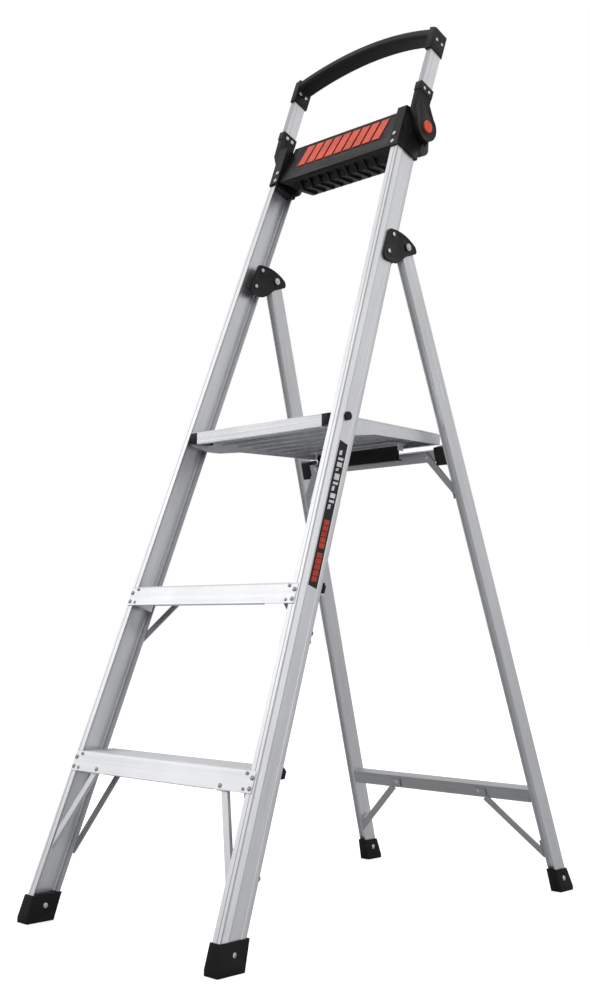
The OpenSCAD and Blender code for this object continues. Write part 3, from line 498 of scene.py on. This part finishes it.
def bevelled(mesh, width):
    """The mesh with its hard edges rounded."""
    holder = bpy.data.objects.new("holder", mesh)
    bpy.context.collection.objects.link(holder)
    bevel = holder.modifiers.new("round", "BEVEL")
    bevel.width = width
    bevel.segments = BEVEL_SEGMENTS
    bevel.limit_method = "ANGLE"
    bevel.angle_limit = BEVEL_FROM
    bevel.miter_outer = "MITER_ARC"
    evaluated = holder.evaluated_get(bpy.context.evaluated_depsgraph_get())
    rounded = bpy.data.meshes.new_from_object(evaluated)
    bpy.data.objects.remove(holder)
    return rounded


def sink(shape, toward, inset, depth):
    """Lowers the middle of the largest flat face that looks one way: a raised border is left."""
    shape.normal_update()
    facing = [face for face in shape.faces if face.normal.dot(Vector(toward)) > FACING]
    largest = max(facing, key=lambda face: face.calc_area())
    normal, level = largest.normal.copy(), largest.calc_center_median().dot(largest.normal)
    flat = [face for face in facing if face.normal.dot(normal) > SAME_WAY
            and abs(face.calc_center_median().dot(normal) - level) < SAME_LEVEL]
    bmesh.ops.inset_region(shape, faces=flat, thickness=inset, depth=-depth, use_even_offset=True)


def soften(node, width, sunk=()):
    """Stands a copy with rounded edges, and any sunk faces, in for a CAD node."""
    mesh = nodes[node].data.copy()
    shape = bmesh.new()
    shape.from_mesh(mesh)
    bmesh.ops.remove_doubles(shape, verts=shape.verts, dist=WELD)
    bmesh.ops.dissolve_limit(shape, angle_limit=FLAT_TURN, verts=shape.verts, edges=shape.edges)
    for toward, inset, depth in sunk:
        sink(shape, toward, inset, depth)
    shape.to_mesh(mesh)
    shape.free()
    piece = new_piece(node + "_shell", bevelled(mesh, width), body_of[node], finish_of(node))
    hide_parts(node)


def soften_mouldings():
    """Rounds the mouldings; the arms, brackets and boots get sunk faces left and right."""
    for side, sign in (("left", -1), ("right", 1)):
        rims = [((way, 0, RIM_TILT * way * sign), RIM_BORDER, SUNK_DEPTH) for way in (-1, 1)]
        boots = [((way, 0, 0), BOOT_BORDER, SUNK_DEPTH) for way in (-1, 1)]
        for start, width, sunk in (("arm_", 0.0016, rims), ("housing_", 0.0016, ()),
                                   ("front_foot_", 0.0016, boots), ("rear_foot_", 0.0014, boots),
                                   ("bracket_outer_", 0.0009, rims),
                                   ("bracket_inner_", 0.0009, rims),
                                   ("bar_block_", 0.0016, ()), ("platform_block_", 0.0014, ())):
            soften(start + side, width, sunk)
    soften("tool_tray", 0.0016)
    soften("grip", 0.0022)


def add_dome(shape, tip, axis, radius, height):
    """A low domed head whose top is at tip and looks along axis."""
    turn = Vector((0, 0, 1)).rotation_difference(axis).to_matrix().to_4x4()
    place = Matrix.Translation(tip) @ turn
    angles = [math.tau * k / DOME_SIDES for k in range(DOME_SIDES)]

    def ring(share, z):
        reach = radius * share
        return [shape.verts.new(place @ Vector((reach * math.cos(a), reach * math.sin(a), z)))
                for a in angles]

    rings = [ring(share, -height * (1 - math.sqrt(1 - (DOME_CURVE * share) ** 2)))
             for share in DOME_SHARES]
    rings.append(ring(1, -height - DOME_SKIRT))
    shape.faces.new(rings[0])
    shape.faces.new(rings[-1])
    for inner, outer in zip(rings, rings[1:]):
        for k in range(DOME_SIDES):
            after = (k + 1) % DOME_SIDES
            shape.faces.new((inner[k], outer[k], outer[after], inner[after]))


def rivet_ends(node):
    """The two ends along X of each rivet in a node, with the direction that each end faces."""
    shape = bmesh.new()
    shape.from_mesh(nodes[node].data)
    bmesh.ops.remove_doubles(shape, verts=shape.verts, dist=WELD)
    left, ends = set(shape.verts), []
    while left:
        group, todo = set(), [left.pop()]
        while todo:
            vert = todo.pop()
            group.add(vert)
            near = {edge.other_vert(vert) for edge in vert.link_edges} & left
            left -= near
            todo.extend(near)
        for sign in (-1, 1):
            reach = max(vert.co.x * sign for vert in group)
            top = [vert.co for vert in group if vert.co.x * sign > reach - END_BAND]
            ends.append((sum(top, Vector()) / len(top), Vector((sign, 0, 0))))
    shape.free()
    return ends


def add_boot_rivets():
    """Wide domed heads on both sides of the boots."""
    for node, radius in BOOT_HEADS:
        shape = bmesh.new()
        for tip, axis in rivet_ends(node):
            add_dome(shape, tip + axis * BOOT_HEAD_PROUD, axis, radius, BOOT_HEAD_HEIGHT)
        from_bmesh(node.replace("rivets", "rivet_heads"), shape, body_of[node], "rivet")


def add_inner_heads():
    """Heads on the inner faces of the handrail's arms and of the grip's end sockets."""
    shape = bmesh.new()
    for node, ways, spots in (("arm_left", (-1,), ARM_RIVETS), ("arm_right", (1,), ARM_RIVETS),
                              ("grip", (-1, 1), GRIP_RIVETS)):
        mesh = nodes[node].data
        tree = BVHTree.FromPolygons([vert.co for vert in mesh.vertices],
                                    [list(face.vertices) for face in mesh.polygons])
        for way in ways:
            for back, up in spots:
                # the face beside the rivet's hole gives the head its place
                start = rail_point(0, back, up - BESIDE_HOLE)
                hit = tree.ray_cast(start, Vector((way, 0, 0)))[0]
                tip = rail_point(hit.x - way * INNER_HEAD_PROUD, back, up)
                add_dome(shape, tip, Vector((-way, 0, 0)), INNER_HEAD_RADIUS, INNER_HEAD_HEIGHT)
    from_bmesh("handrail_inner_heads", shape, "handrail", "rivet")


def add_prism(shape, lower, upper):
    """A closed solid between two outlines with as many corners each."""
    rings = [[shape.verts.new(point) for point in points] for points in (lower, upper)]
    for ring in rings:
        shape.faces.new(ring)
    count = len(lower)
    for k in range(count):
        after = (k + 1) % count
        shape.faces.new((rings[0][k], rings[0][after], rings[1][after], rings[1][k]))


def add_tray_ribs():
    """Stiffening ribs under the tray's floor."""
    front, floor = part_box("tool_tray")[0][1:]
    outline = [(front + back, floor + up) for back, up in RIB_OUTLINE]
    shape = bmesh.new()
    for number in RIB_NUMBERS:
        centre = RIB_PITCH * number
        add_prism(shape, *[[(centre + half, y, z) for y, z in outline]
                           for half in (-RIB_HALF, RIB_HALF)])
    from_bmesh("tray_ribs", shape, "front_frame", "plastic")


def slanted(low, high, start, length):
    """A leaning bar across the label, from low to high, that starts at a place along it."""
    return [(low, start), (high, start + INK_LEAN), (high, start + length + INK_LEAN),
            (low, start + length)]


def add_label_plates(name, outlines, finish):
    """Thin plates of ink on the right rail's label; the corners are (back, up) on the rail."""
    shape = bmesh.new()
    for outline in outlines:
        add_prism(shape, *[[web_point(out, back, up) for back, up in outline]
                           for out in INK_LEVELS])
    from_bmesh(name, shape, "front_frame", finish)


def add_label_print():
    """Plain slanted marks in two colours on the right rail's label."""
    front, rear, rear_third = MARK_MARGINS
    pale, red = [], []
    up = MARK_START
    for k, length in enumerate(MARK_LENGTHS):
        high = LABEL_REAR - (rear if k % 3 else rear_third)
        pale.append(slanted(LABEL_FRONT + front, high, up, length / 1000))
        up += length / 1000 + MARK_GAP
    for start in BAR_STARTS:
        for k in range(BARS_EACH):
            red.append(slanted(LABEL_FRONT + BAR_MARGIN, LABEL_REAR - BAR_MARGIN,
                               start + BAR_PITCH * k, BAR_LENGTH))
    add_label_plates("label_marks", pale, "ink")
    add_label_plates("label_bars", red, "red_ink")


add_camera()
add_world()
add_lights()
add_floor()
materials = make_materials()
dress_nodes()
soften_mouldings()
add_label_print()
add_boot_rivets()
add_inner_heads()
add_tray_ribs()
